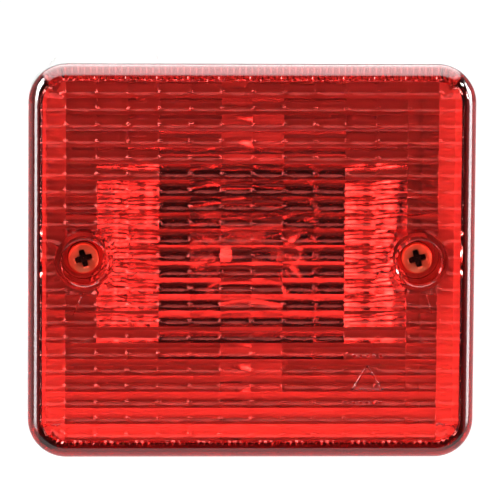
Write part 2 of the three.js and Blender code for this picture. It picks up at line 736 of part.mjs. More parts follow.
function makeReflector() {
  const outerSize = BOWL_SIZE + 2 * REFLECTOR_WALL;
  const floorBack = bowlFloor + REFLECTOR_WALL;
  const box = centredBlock(outerSize, reflectorRim, floorBack, outerSize);
  const hollow = centredBlock(BOWL_SIZE, reflectorRim - 1, bowlFloor, BOWL_SIZE);
  const bulbHole = rod(bulbHoleRadius, reflectorRim, floorBack + 1);
  const tabTop = bowlHalf + REFLECTOR_WALL / 2 + TAB_LENGTH;
  const tabs = [1, -1].map((side) => block(
    -TAB_WIDTH / 2, TAB_WIDTH / 2, reflectorRim, tabBack,
    side * (bowlHalf + REFLECTOR_WALL / 2), side * tabTop));
  const tabHoles = [1, -1].map((side) => rod(
    TAB_SCREW_RADIUS + FIT, reflectorRim - 1, tabBack + 1, 0, side * tabScrewZ, SMALL_SIDES));
  const bossRoom = rod(
    LENS_BOSS_RADIUS + REFLECTOR_CLEARANCE, lensFront, 0, screwX, 0, SMALL_SIDES);
  const right = cut(wing(), bossRoom);
  const body = cut(join(box, ...tabs, right, otherSide(right)), hollow, bulbHole, ...tabHoles);
  add('reflector', body, mirrorMetal);
}

function makeReflectorScrews() {
  const headBase = reflectorRim - FIT;
  const profile = panHeadScrew(
    TAB_SCREW_RADIUS, TAB_HEAD_RADIUS, headBase - TAB_HEAD_HEIGHT, TAB_HEAD_HEIGHT,
    TAB_HEAD_HEIGHT / 3, TAB_SCREW_LENGTH, 1);
  for (const [place, z] of [['upper', tabScrewZ], ['lower', -tabScrewZ]]) {
    add(`reflector_screw_${place}`, turned(profile, 0, z, SMALL_SIDES), screwSteel);
  }
}

makeLens();
makeLensGasket();
makeLensScrews();
makeHousing();
makeVentPlug();
makeMountInserts();
makeTerminalCover();
makeReflector();
makeReflectorScrews();
makeSocket();
makeRivets();
makeContacts();
makeTerminals();
makeBulb();

export default lamp;
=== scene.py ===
"""Rear fog lamp: red optic lens, white housing, metallised reflector and a bayonet bulb."""
import math
from functools import partial

import bmesh
import bpy
import numpy as np
from mathutils import Matrix, Vector


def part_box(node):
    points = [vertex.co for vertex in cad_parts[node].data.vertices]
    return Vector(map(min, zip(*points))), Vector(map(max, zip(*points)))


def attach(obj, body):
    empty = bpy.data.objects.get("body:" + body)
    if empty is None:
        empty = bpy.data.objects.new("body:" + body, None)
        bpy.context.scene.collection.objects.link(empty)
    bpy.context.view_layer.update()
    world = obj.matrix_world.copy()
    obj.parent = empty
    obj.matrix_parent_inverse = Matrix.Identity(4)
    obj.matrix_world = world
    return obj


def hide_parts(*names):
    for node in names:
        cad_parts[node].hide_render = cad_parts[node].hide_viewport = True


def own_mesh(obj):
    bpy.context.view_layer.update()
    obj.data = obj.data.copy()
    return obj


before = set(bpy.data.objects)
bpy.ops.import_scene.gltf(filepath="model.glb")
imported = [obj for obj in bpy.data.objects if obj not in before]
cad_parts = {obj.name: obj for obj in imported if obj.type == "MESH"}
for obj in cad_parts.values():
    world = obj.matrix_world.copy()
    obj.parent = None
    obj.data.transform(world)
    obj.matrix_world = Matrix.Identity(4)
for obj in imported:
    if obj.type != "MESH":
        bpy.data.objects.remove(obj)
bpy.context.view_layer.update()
MM = 0.001

# Lens: the sizes that its fine surface needs, in metres
CORNER_RADIUS = 8.8 * MM
LENS_PLATE = 2.8 * MM
CROWN_INSET = 2.4 * MM
CROWN_DEPTH = 2.8 * MM
CROWN_START = math.radians(20)
CROWN_STEPS = 10
BAND_DEPTH = 1.5 * MM
TONGUE_INSET = 1.8 * MM
TONGUE_WALL = 1.0 * MM
TONGUE_REACH = 8.0 * MM
COLUMN_PITCH = 7.05 * MM
COLUMNS = 12
COLUMN_STEPS = 20
EDGE_STEPS = 13
ROW_PITCH = 3.74 * MM
ROWS = 22
ROW_STEPS = 6
EDGE_ROWS = 2
PILLOW_TALL = 0.62 * MM
PILLOW_WIDE = 0.50 * MM
RIB_DEPTH = 0.85 * MM
RIBS_A_COLUMN = 5
EDGE_BREAK = 0.15 * MM
FINE_BREAK = 0.1 * MM
LEAST_CORNER = 0.5 * MM
SAME_PLACE = 1e-9
WELL_BORE = 5.2 * MM
WELL_RADIUS = 6.7 * MM
WELL_LIP = 0.35 * MM
WELL_FLOOR = 11.4 * MM
WELL_HOLE = 2.15 * MM
WELL_CLEAR = 7.15 * MM
WELL_DRAFT = 0.02 * MM
WELL_FILLET = 0.6 * MM
HOLE_BREAK = 0.2 * MM
POST_ROUND = 0.5 * MM
POST_STANDS_OFF = 0.3 * MM

# Reflector
BEAD_PITCH = 2.3 * MM
BOWL_HALF = 21.5 * MM

# Screws
SCREW_SIDES = 96
HEAD_RINGS = 40
HEAD_EDGE_STEPS = 5
HEAD_CENTRE = 0.04 * MM
HEAD_RADIUS = 3.5 * MM
HEAD_TALL = 2.6 * MM
HEAD_DOME = 0.4 * MM
HEAD_EDGE = 0.35 * MM
CROSS_TURN = math.radians(15)
CROSS_HALF = 0.80 * MM
CROSS_REACH = 2.2 * MM
CROSS_DEPTH = 1.5 * MM
CROSS_WALL = 0.14 * MM
CROSS_TAPER = 0.25
CROSS_SLOPE = 0.55
CROSS_DARK = 0.2
SHANK_RADIUS = 1.75 * MM
THREAD_DEPTH = 0.38 * MM
THREAD_PITCH = 1.3 * MM
THREAD_STEPS = 8
THREAD_NARROW = 3.2
THREAD_RUN_IN = 1.5 * MM
THREAD_RUN_OUT = 2.0 * MM
POINT_START = 0.8 * MM
POINT_END = 0.3 * MM

# Moulded marks on the lens, from its centre
MARK_X = 26.4 * MM
MARK_Z = -26.9 * MM
MARK_RISE = 0.07 * MM
MARK_LINE = 0.34 * MM
TRIANGLE_HALF = 3.4 * MM
TRIANGLE_FOOT = 2.2 * MM
TRIANGLE_TOP = 3.2 * MM
DOTS_A_ROW = 5
DOT_PITCH = 1.5 * MM
DOT_RADIUS = 0.42 * MM
DOT_SIDES = 24
DOTS_ABOVE = 5.6 * MM
DOTS_BELOW = 5.2 * MM
BAR_END_STEPS = 7
KNIT_WIDTH = 0.16 * MM
KNIT_RISE = 0.04 * MM
KNIT_LINES_MM = (((-38.4, -6.9), (-40.6, -12.0)), ((39.6, -7.0), (41.0, -11.6)))

# Wires
WIRE_FRAME = (0.01, 1.01, 0.01)
FILAMENT_WIRE = 0.11 * MM
FILAMENT_TURNS = 15
FILAMENT_STEPS = 16
FILAMENT_SIDES = 8
SPRING_WIRE = 0.28 * MM
SPRING_TURNS = 4
SPRING_STEPS = 36
SPRING_SIDES = 10

# Rounded copies: edges past EDGE_ANGLE are rounded, and wide flat faces stay flat
EDGE_ANGLE = math.radians(40)
FLAT_ANGLE = math.radians(1.0)
WIDE_FACE = 60 * MM * MM
SAME_POINT = 0.002 * MM

# Red plastic: through the plate, through the thick edge, and on the way of a shadow ray
THIN_RED = (0.86, 0.15, 0.13, 1.0)
THICK_RED = (0.52, 0.055, 0.06, 1.0)
SHADOW_RED = (0.66, 0.27, 0.25, 1.0)
EDGE_CLARITY = 0.80

# Light, where 1 is plain white
FRONT_LIGHT = 0.04
BACK_LIGHT = 0.55
TOP_LIGHT = 7.2
FLOOR_LIGHT = 2.0
SIDE_LIGHT = 40.0
SPOT_SIZE = 0.11
SPOT_AIM = (0, -50 * MM, 0)
SPOT_POWER_LEFT = 1.6
SPOT_POWER_RIGHT = 3.4
FLOOR_HEIGHT = -0.60
FLOOR_GLOW = 0.70
FLOOR_HALF_WIDTH = 9
FLOOR_NEAR = -0.7
FLOOR_FAR = 18
FLOOR_LINES = 25

# Camera
VIEW_AZIMUTH = math.radians(-2.8)
VIEW_ELEVATION = math.radians(8.0)
VIEW_DISTANCE = 1.34
VIEW_FOCAL_MM = 425.5
VIEW_ROLL = math.radians(0.42)
AIM_SIDE = -0.53 * MM
AIM_RISE = 3.0 * MM


# ---------------------------------------------------------------- node helpers

def new_material(name):
    """An empty node material, returned with its node list and link list."""
    made = bpy.data.materials.new(name)
    made.use_nodes = True
    made.node_tree.nodes.clear()
    return made, made.node_tree.nodes, made.node_tree.links


def principled(nodes, links, **values):
    """A Principled shader joined to the output, with its plain sockets set by name."""
    shader = nodes.new("ShaderNodeBsdfPrincipled")
    output = nodes.new("ShaderNodeOutputMaterial")
    links.new(shader.outputs[0], output.inputs["Surface"])
    for socket, value in values.items():
        shader.inputs[socket.replace("_", " ")].default_value = value
    return shader


def noise(nodes, links, scale, detail=4.0, roughness=0.5):
    """Noise on Object coordinates."""
    place = nodes.new("ShaderNodeTexCoord")
    made = nodes.new("ShaderNodeTexNoise")
    made.inputs["Scale"].default_value = scale
    made.inputs["Detail"].default_value = detail
    made.inputs["Roughness"].default_value = roughness
    links.new(place.outputs["Object"], made.inputs["Vector"])
    return made.outputs[0]


def ramp(nodes, links, source, low, high, start=0.3, end=0.7):
    """A two-colour ramp driven by a pattern."""
    made = nodes.new("ShaderNodeValToRGB")
    made.color_ramp.elements[0].position = start
    made.color_ramp.elements[0].color = low
    made.color_ramp.elements[1].position = end
    made.color_ramp.elements[1].color = high
    links.new(source, made.inputs[0])
    return made.outputs[0]


def bump(nodes, links, source, shader, strength, distance):
    """A bump from a pattern, on one shader."""
    made = nodes.new("ShaderNodeBump")
    made.inputs["Strength"].default_value = strength
    made.inputs["Distance"].default_value = distance
    links.new(source, made.inputs["Height"])
    links.new(made.outputs[0], shader.inputs["Normal"])


def calculate(nodes, links, kind, first, second=0.0):
    """One Math node of a kind, on two numbers or pattern outputs."""
    made = nodes.new("ShaderNodeMath")
    made.operation = kind
    for index, value in enumerate((first, second)):
        if isinstance(value, (int, float)):
            made.inputs[index].default_value = value
        else:
            links.new(value, made.inputs[index])
    return made.outputs[0]


def object_axes(nodes, links):
    """The Object coordinates as separate X, Y and Z outputs."""
    place = nodes.new("ShaderNodeTexCoord")
    axes = nodes.new("ShaderNodeSeparateXYZ")
    links.new(place.outputs["Object"], axes.inputs[0])
    return axes.outputs


def blend_colours(nodes, links, share, first, second):
    """A colour that goes from the first to the second as the share goes from 0 to 1."""
    made = nodes.new("ShaderNodeMix")
    made.data_type = "RGBA"
    links.new(share, made.inputs["Factor"])
    for index, value in ((6, first), (7, second)):
        if isinstance(value, tuple):
            made.inputs[index].default_value = value
        else:
            links.new(value, made.inputs[index])
    return made.outputs[2]


def grey(level):
    """A neutral colour."""
    return (level, level, level, 1.0)


# ---------------------------------------------------------------- materials

def red_acrylic():
    """Clear red moulded acrylic: deeper red where its edge is thick, and light passes tinted."""
    made, nodes, links = new_material("red_acrylic")
    shader = principled(nodes, links, Roughness=0.0, IOR=1.49, Transmission_Weight=1.0)
    calc = partial(calculate, nodes, links)
    axes = object_axes(nodes, links)
    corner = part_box("lens")[1]
    past_side = calc("GREATER_THAN", calc("ABSOLUTE", axes["X"]), corner.x - CROWN_INSET)
    past_end = calc("GREATER_THAN", calc("ABSOLUTE", axes["Z"]), corner.z - CROWN_INSET)
    reach = calc("MAXIMUM", past_side, past_end)
    depth = ramp(nodes, links, reach, THIN_RED, THICK_RED, 0.2, 0.8)
    links.new(depth, shader.inputs["Base Color"])
    clarity = ramp(nodes, links, reach, grey(1.0), grey(EDGE_CLARITY), 0.2, 0.8)
    links.new(clarity, shader.inputs["Transmission Weight"])
    flow = noise(nodes, links, 700.0, 5.0, 0.7)
    bump(nodes, links, flow, shader, 0.35, 0.05 * MM)
    clear = nodes.new("ShaderNodeBsdfTransparent")
    clear.inputs[0].default_value = SHADOW_RED
    path = nodes.new("ShaderNodeLightPath")
    mix = nodes.new("ShaderNodeMixShader")
    output = [n for n in nodes if n.type == "OUTPUT_MATERIAL"][0]
    links.new(path.outputs["Is Shadow Ray"], mix.inputs[0])
    links.new(shader.outputs[0], mix.inputs[1])
    links.new(clear.outputs[0], mix.inputs[2])
    links.new(mix.outputs[0], output.inputs["Surface"])
    return made


def white_plastic():
    """Satin white housing plastic with a fine spark-eroded grain."""
    made, nodes, links = new_material("white_plastic")
    shader = principled(
        nodes, links, Roughness=0.42, IOR=1.35, Subsurface_Weight=0.08,
        Subsurface_Scale=1.5 * MM)
    cloud = noise(nodes, links, 45.0)
    tint = ramp(nodes, links, cloud, (0.80, 0.80, 0.785, 1), (0.86, 0.86, 0.85, 1))
    links.new(tint, shader.inputs["Base Color"])
    grain = noise(nodes, links, 5200.0, 2.0)
    bump(nodes, links, grain, shader, 0.25, 0.03 * MM)
    return made


def soft_rubber():
    """Matt black rubber with a faint bloom."""
    made, nodes, links = new_material("soft_rubber")
    shader = principled(nodes, links, Roughness=0.72, IOR=1.5)
    cloud = noise(nodes, links, 900.0)
    tint = ramp(nodes, links, cloud, grey(0.012), grey(0.03))
    links.new(tint, shader.inputs["Base Color"])
    bump(nodes, links, cloud, shader, 0.3, 0.04 * MM)
    return made


def metal(name, dull, bright, roughness, grain_scale=1800.0, depth=0.012 * MM):
    """Plated or turned metal with a cloudy tone and a fine grain."""
    made, nodes, links = new_material(name)
    shader = principled(nodes, links, Metallic=1.0, Roughness=roughness)
    cloud = noise(nodes, links, 160.0)
    tint = ramp(nodes, links, cloud, dull, bright)
    links.new(tint, shader.inputs["Base Color"])
    grain = noise(nodes, links, grain_scale, 2.0)
    bump(nodes, links, grain, shader, 0.2, depth)
    return made


def mirror_coat():
    """Vacuum-metallised reflector: lacquer peel all over, and rows of beads on the wings.

    The beads are a sum of two cosines, in x and in z, let in where |x| passes the bowl.
    """
    made, nodes, links = new_material("mirror_coat")
    shader = principled(nodes, links, Metallic=1.0, Roughness=0.10)
    cloud = noise(nodes, links, 160.0)
    tint = ramp(nodes, links, cloud, grey(0.78), grey(0.9))
    links.new(tint, shader.inputs["Base Color"])
    calc = partial(calculate, nodes, links)
    axes = object_axes(nodes, links)
    wave_x = calc("COSINE", calc("MULTIPLY", axes["X"], math.tau / BEAD_PITCH))
    wave_z = calc("COSINE", calc("MULTIPLY", axes["Z"], math.tau / BEAD_PITCH))
    beads = calc("ADD", wave_x, wave_z)
    outside = calc("GREATER_THAN", calc("ABSOLUTE", axes["X"]), BOWL_HALF)
    peel = calc("MULTIPLY", noise(nodes, links, 700.0, 3.0), 0.9)
    height = calc("ADD", calc("MULTIPLY", beads, outside), peel)
    beyond = calc("GREATER_THAN", calc("ABSOLUTE", axes["Z"]), BOWL_HALF)
    links.new(calc("ADD", calc("MULTIPLY", beyond, 0.5), 0.04), shader.inputs["Roughness"])
    bare = ramp(nodes, links, cloud, grey(0.30), grey(0.38))
    plain = blend_colours(nodes, links, beyond, tint, bare)
    dimmed = blend_colours(nodes, links, calc("MULTIPLY", outside, 0.35), plain, grey(0.22))
    links.new(dimmed, shader.inputs["Base Color"])
    links.new(calc("SUBTRACT", 1.0, beyond), shader.inputs["Metallic"])
    bump(nodes, links, height, shader, 1.0, 0.13 * MM)
    return made


def blown_glass():
    """Clear bulb glass, a little uneven."""
    made, nodes, links = new_material("blown_glass")
    shader = principled(
        nodes, links, Base_Color=(0.98, 0.985, 0.98, 1), Roughness=0.0, IOR=1.5,
        Transmission_Weight=1.0)
    bump(nodes, links, noise(nodes, links, 150.0, 2.0), shader, 0.08, 0.05 * MM)
    return made


def pressed_board():
    """Brown insulating board with pressed fibres."""
    made, nodes, links = new_material("pressed_board")
    shader = principled(nodes, links, Roughness=0.6)
    fibre = noise(nodes, links, 1400.0, 5.0)
    tint = ramp(nodes, links, fibre, (0.10, 0.045, 0.02, 1), (0.22, 0.11, 0.05, 1))
    links.new(tint, shader.inputs["Base Color"])
    bump(nodes, links, fibre, shader, 0.3, 0.05 * MM)
    return made


def grey_moulding():
    """Plain grey moulded plastic."""
    made, nodes, links = new_material("grey_moulding")
    shader = principled(nodes, links, Roughness=0.5)
    cloud = noise(nodes, links, 700.0)
    tint = ramp(nodes, links, cloud, grey(0.20), grey(0.26))
    links.new(tint, shader.inputs["Base Color"])
    return made


RED = red_acrylic()
WHITE = white_plastic()
RUBBER = soft_rubber()
MIRROR = mirror_coat()
PASSIVATED = metal("passivated_steel", (0.66, 0.27, 0.14, 1), (0.80, 0.36, 0.20, 1), 0.32)
# Painted shade: a near-black metal for the faces deep in the screws' cross recesses, where shade
# falls
RECESS_SHADE = metal("painted_recess_shade", (0.012, 0.008, 0.008, 1), (0.03, 0.02, 0.02, 1), 0.6)
STEEL = metal("zinc_steel", grey(0.50), grey(0.66), 0.28)
NICKEL = metal("nickel_brass", (0.55, 0.50, 0.40, 1), (0.70, 0.66, 0.55, 1), 0.26)
BRASS = metal("plain_brass", (0.52, 0.36, 0.13, 1), (0.70, 0.50, 0.22, 1), 0.3)
TUNGSTEN = metal("tungsten_wire", grey(0.12), grey(0.22), 0.4)
GLASS = blown_glass()
BOARD = pressed_board()
GREY = grey_moulding()

NODE_FINISH = {
    "lens_gasket": RUBBER, "screw_seal_left": RUBBER, "screw_seal_right": RUBBER,
    "lens_screw_left": STEEL, "lens_screw_right": STEEL, "base_housing": WHITE,
    "vent_plug": GREY, "mount_insert_left": BRASS, "mount_insert_right": BRASS,
    "terminal_cover": WHITE, "cable_grommet": RUBBER, "reflector": MIRROR,
    "reflector_screw_upper": STEEL, "reflector_screw_lower": STEEL, "bulb_socket": STEEL,
    "socket_bracket": STEEL, "socket_rivet_left": NICKEL, "socket_rivet_right": NICKEL,
    "contact_disc": BOARD, "contact_spring": STEEL, "contact_plunger": NICKEL,
    "live_terminal": NICKEL, "earth_terminal": NICKEL, "bulb_cap": NICKEL,
    "bulb_solder_contact": STEEL, "bulb_glass": GLASS, "bulb_stem": GLASS,
    "bulb_filament": TUNGSTEN, "bulb_support_left": TUNGSTEN, "bulb_support_right": TUNGSTEN,
}
for node_name, node_material in NODE_FINISH.items():
    node_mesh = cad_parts[node_name].data
    node_mesh.materials.clear()
    node_mesh.materials.append(node_material)


# ---------------------------------------------------------------- mesh helpers

def piece(name, points, faces, material, body, node, sharp_deg=30.0):
    """A finished mesh piece that rides on a body and stands for one node."""
    mesh = bpy.data.meshes.new(name)
    mesh.from_pydata(np.asarray(points).tolist(), [], faces)
    work = bmesh.new()
    work.from_mesh(mesh)
    bmesh.ops.recalc_face_normals(work, faces=work.faces)
    work.to_mesh(mesh)
    work.free()
    mesh.shade_smooth()
    mesh.set_sharp_from_angle(angle=math.radians(sharp_deg))
    mesh.materials.append(material)
    made = bpy.data.objects.new(name, mesh)
    bpy.context.scene.collection.objects.link(made)
    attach(made, body)
    if node is not None:
        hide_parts(node)
    return made


def strip_faces(first, second):
    """Quads between two closed loops of vertex numbers that match one to one."""
    next_first = np.roll(first, -1)
    next_second = np.roll(second, -1)
    return np.stack([first, next_first, next_second, second], axis=1)


# ---------------------------------------------------------------- lens

def screw_centre(side):
    """The middle of a lens screw, seen from the front, as x and z."""
    low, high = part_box("lens_screw_" + side)
    return (low.x + high.x) / 2, (low.z + high.z) / 2


def field_lines():
    """Grid lines of the optic field: 12 wide cells and an edge strip each side, 22 rows."""
    half_width = (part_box("lens")[1].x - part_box("lens")[0].x) / 2
    half_height = (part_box("lens")[1].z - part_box("lens")[0].z) / 2
    inset = TONGUE_INSET + TONGUE_WALL
    columns = np.linspace(-COLUMNS / 2, COLUMNS / 2, COLUMNS * COLUMN_STEPS + 1) * COLUMN_PITCH
    edge = np.linspace(columns[-1], half_width - inset, EDGE_STEPS + 1)[1:]
    xs = np.concatenate([-edge[::-1], columns, edge])
    rows = np.linspace(-ROWS / 2, ROWS / 2, ROWS * ROW_STEPS + 1) * ROW_PITCH
    rim = np.linspace(rows[-1], half_height - inset, EDGE_ROWS + 1)[1:]
    zs = np.concatenate([-rim[::-1], rows, rim])
    return xs, zs, half_width, half_height


def round_corners(x, z, half_x, half_z, radius):
    """Bends concentric rectangles into rounded ones.

    Each point lies on a rectangle at some inset from the border; the part of it that
    overruns that rectangle's corner circle is drawn in to the circle.
    """
    inset = np.minimum(half_x - np.abs(x), half_z - np.abs(z))
    corner = np.maximum(radius - inset, SAME_PLACE)
    limit_x = half_x - inset - corner
    limit_z = half_z - inset - corner
    core_x = np.clip(x, -limit_x, limit_x)
    core_z = np.clip(z, -limit_z, limit_z)
    away_x = x - core_x
    away_z = z - core_z
    length = np.hypot(away_x, away_z)
    both = (np.abs(away_x) > SAME_PLACE) & (np.abs(away_z) > SAME_PLACE)
    scale = np.where(both, corner / np.maximum(length, 1e-12), 1.0)
    return core_x + away_x * scale, core_z + away_z * scale


def pillow_height(x, z):
    """Height of the cell cushions: each cell is a sum of two parabolas, zero at its border."""
    along = np.abs((x / COLUMN_PITCH) % 1.0 * 2 - 1)
    up = np.abs((z / ROW_PITCH) % 1.0 * 2 - 1)
    return PILLOW_TALL * (1 - up ** 2) + PILLOW_WIDE * (1 - along ** 2)


def make_lens():
    """The lens as one closed skin: flat front, crowned edge, tongue and optic back.

    Both faces are the same grid with the same cells left out at the screw wells, so the
    border loops and the well loops match, and rings of quads join them.
    """
    xs, zs, half_width, half_height = field_lines()
    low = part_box("lens")[0]
    front_y = low.y
    back_y = front_y + LENS_PLATE
    inset = TONGUE_INSET + TONGUE_WALL
    gx, gz = np.meshgrid(xs, zs, indexing="ij")
    count_x, count_z = gx.shape
    number = np.arange(count_x * count_z).reshape(count_x, count_z)

    border = np.concatenate([
        number[:-1, 0], number[-1, :-1], number[:0:-1, -1], number[0, :0:-1]])
    border_x = gx.ravel()[border]
    border_z = gz.ravel()[border]
    on_long_side = np.abs(np.abs(border_z) - zs[-1]) < SAME_PLACE
    wave = np.abs(((border_x / COLUMN_PITCH * RIBS_A_COLUMN) % 1.0) * 2 - 1)
    rib = np.where(on_long_side, RIB_DEPTH * wave, 0.0)

    def loop(loop_inset, y, ribs=0.0):
        """The border carried to another inset, as points on a rounded rectangle."""
        half_x = half_width - loop_inset
        half_z = half_height - loop_inset
        x = border_x / xs[-1] * half_x
        z = border_z / zs[-1] * half_z
        z = z - np.sign(z) * ribs
        radius = max(CORNER_RADIUS - loop_inset, LEAST_CORNER)
        px, pz = round_corners(x, np.clip(z, -half_z, half_z), half_x, half_z, radius)
        return np.stack([px, np.full_like(px, y), pz], axis=1)

    mid_x = (gx[:-1, :-1] + gx[1:, 1:]) / 2
    mid_z = (gz[:-1, :-1] + gz[1:, 1:]) / 2
    well_x = screw_centre("right")[0]
    kept = np.hypot(np.abs(mid_x) - well_x, mid_z) > WELL_CLEAR
    cells = np.stack([
        number[:-1, :-1], number[1:, :-1], number[1:, 1:], number[:-1, 1:]], axis=-1)[kept]

    edges = np.concatenate([cells[:, [i, (i + 1) % 4]] for i in range(4)])
    keys = np.sort(edges, axis=1)
    unique, counts = np.unique(keys, axis=0, return_counts=True)
    rim_ids = np.unique(unique[counts == 1])
    rim_ids = rim_ids[~np.isin(rim_ids, border)]
    well_loops = []
    for side in (-1, 1):
        centre = side * well_x
        ids = rim_ids[np.sign(gx.ravel()[rim_ids]) == side]
        angle = np.arctan2(gz.ravel()[ids], gx.ravel()[ids] - centre)
        order = np.argsort(angle)
        well_loops.append((centre, ids[order], angle[order]))

    def sheet_points(sheet_inset, y, snap_radius):
        """The grid laid out to its border inset, with its well rims drawn to circles."""
        half_x = half_width - sheet_inset
        half_z = half_height - sheet_inset
        x = gx / xs[-1] * half_x
        z = gz / zs[-1] * half_z
        x, z = round_corners(x, z, half_x, half_z, CORNER_RADIUS - sheet_inset)
        points = np.stack([x.ravel(), np.broadcast_to(y, x.shape).ravel(), z.ravel()], axis=1)
        for centre, ids, angle in well_loops:
            points[ids, 0] = centre + snap_radius * np.cos(angle)
            points[ids, 2] = snap_radius * np.sin(angle)
        return points

    front = sheet_points(CROWN_INSET, np.full_like(gx, front_y), WELL_BORE + WELL_LIP)
    height = pillow_height(gx, gz)
    back = sheet_points(inset, back_y + height, WELL_RADIUS)
    back[border] = loop(inset, back_y, rib)

    blocks = [front, back]
    faces = [cells, cells[:, ::-1] + front.shape[0]]
    start = front.shape[0] * 2

    reach = CROWN_INSET / (1 - math.sin(CROWN_START))
    depth = CROWN_DEPTH / math.cos(CROWN_START)
    crown_y = front_y + CROWN_DEPTH
    profile = []
    for angle in np.linspace(CROWN_START, math.pi / 2, CROWN_STEPS + 1)[1:]:
        profile.append((reach * (1 - math.sin(angle)), crown_y - depth * math.cos(angle), 0))
    band_end = crown_y + BAND_DEPTH
    tongue_end = front_y + TONGUE_REACH
    profile += [(0, band_end - EDGE_BREAK, 0), (EDGE_BREAK, band_end, 0)]
    profile += [(TONGUE_INSET, band_end, 0), (TONGUE_INSET, tongue_end - EDGE_BREAK, 0)]
    profile += [(TONGUE_INSET + EDGE_BREAK, tongue_end, 0), (inset, tongue_end, rib)]
    previous = border
    for ring_inset, ring_y, ring_rib in profile:
        blocks.append(loop(ring_inset, ring_y, ring_rib))
        here = start + np.arange(len(border))
        faces.append(strip_faces(previous, here))
        previous = here
        start += len(border)
    faces.append(strip_faces(previous, border + front.shape[0]))

    floor_y = front_y + WELL_FLOOR
    post_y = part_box("lens")[1].y
    well_profile = [
        (WELL_BORE + FINE_BREAK, front_y + FINE_BREAK),
        (WELL_BORE, front_y + WELL_LIP),
        (WELL_BORE - WELL_DRAFT, floor_y - WELL_FILLET),
        (WELL_BORE - HOLE_BREAK, floor_y - EDGE_BREAK),
        (WELL_BORE - WELL_FILLET, floor_y),
        (WELL_HOLE + HOLE_BREAK, floor_y),
        (WELL_HOLE, floor_y + HOLE_BREAK),
        (WELL_HOLE, post_y - FINE_BREAK),
        (WELL_HOLE + FINE_BREAK, post_y),
        (WELL_RADIUS - POST_ROUND, post_y),
        (WELL_RADIUS - FINE_BREAK, post_y - EDGE_BREAK),
        (WELL_RADIUS, post_y - POST_ROUND),
        (WELL_RADIUS, back_y + PILLOW_TALL + PILLOW_WIDE + POST_STANDS_OFF),
    ]
    for centre, ids, angle in well_loops:
        previous = ids
        for radius, y in well_profile:
            blocks.append(np.stack([
                centre + radius * np.cos(angle), np.full_like(angle, y),
                radius * np.sin(angle)], axis=1))
            here = start + np.arange(len(ids))
            faces.append(strip_faces(previous, here))
            previous = here
            start += len(ids)
        faces.append(strip_faces(previous, ids + front.shape[0]))

    points = np.concatenate(blocks)
    faces = np.concatenate(faces)
    used = np.unique(faces)
    renumber = np.zeros(len(points), dtype=int)
    renumber[used] = np.arange(len(used))
    return piece("lens_optic", points[used], renumber[faces].tolist(), RED,
                 "lens", "lens", 20.0)


make_lens()


# ---------------------------------------------------------------- moulded marks

def dome_points(x, z, radius, height, y):
    """A small dome on the front: r = radius cos t, y = front - height sin t."""
    turn = np.arange(DOT_SIDES) * math.tau / DOT_SIDES
    rings = []
    for lift in (-1.0, 0.0, 0.5, 0.85):
        reach = radius * math.sqrt(1 - max(lift, 0) ** 2)
        rings.append(np.stack([
            x + reach * np.cos(turn), np.full(DOT_SIDES, y - height * lift),
            z + reach * np.sin(turn)], axis=1))
    return rings


def closed_rings(rings):
    """Rings of equal count joined side by side and capped at both ends."""
    count = len(rings[0])
    faces = []
    for index in range(len(rings) - 1):
        near = np.arange(count) + index * count
        faces += strip_faces(near, near + count).tolist()
    faces.append(list(range(count))[::-1])
    faces.append(list(range((len(rings) - 1) * count, len(rings) * count)))
    return np.concatenate(rings), faces


def bar_rings(start, end, width, height, y):
    """A rounded bar from one point to another: a stadium outline, raised in three steps."""
    start = np.array(start)
    end = np.array(end)
    along = (end - start) / np.linalg.norm(end - start)
    lean = math.atan2(along[1], along[0])
    turn = np.linspace(-math.pi / 2, math.pi / 2, BAR_END_STEPS)
    angles = np.concatenate([lean + turn, lean + math.pi + turn])
    centres = np.concatenate([
        np.tile(end, (BAR_END_STEPS, 1)), np.tile(start, (BAR_END_STEPS, 1))])
    rings = []
    for share, lift in ((1.0, -1.0), (1.0, 0.3), (0.75, 0.85), (0.4, 1.0)):
        reach = width / 2 * share
        rings.append(np.stack([
            centres[:, 0] + reach * np.cos(angles), np.full_like(angles, y - height * lift),
            centres[:, 1] + reach * np.sin(angles)], axis=1))
    return rings


def make_marks():
    """Plain moulded signs on the lens: a triangle, rows of dots and two knit lines."""
    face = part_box("lens")[0].y
    corners = [
        (MARK_X - TRIANGLE_HALF, MARK_Z - TRIANGLE_FOOT),
        (MARK_X + TRIANGLE_HALF, MARK_Z - TRIANGLE_FOOT), (MARK_X, MARK_Z + TRIANGLE_TOP)]
    shapes = []
    for start, end in zip(corners, corners[1:] + corners[:1]):
        shapes.append(bar_rings(start, end, MARK_LINE, MARK_RISE, face))
    for column in range(DOTS_A_ROW):
        x = MARK_X + (column - (DOTS_A_ROW - 1) / 2) * DOT_PITCH
        for z in (MARK_Z + DOTS_ABOVE, MARK_Z - DOTS_BELOW):
            shapes.append(dome_points(x, z, DOT_RADIUS, MARK_RISE, face))
    for start, end in KNIT_LINES_MM:
        shapes.append(bar_rings(
            np.array(start) * MM, np.array(end) * MM, KNIT_WIDTH, KNIT_RISE, face))
    points = []
    faces = []
    count = 0
    for rings in shapes:
        ring_points, ring_faces = closed_rings(rings)
        points.append(ring_points)
        faces += [[number + count for number in face_ids] for face_ids in ring_faces]
        count += len(ring_points)
    return piece("lens_marks", np.concatenate(points), faces, RED,
                 "lens", None, 60.0)


make_marks()


# ---------------------------------------------------------------- lens screws

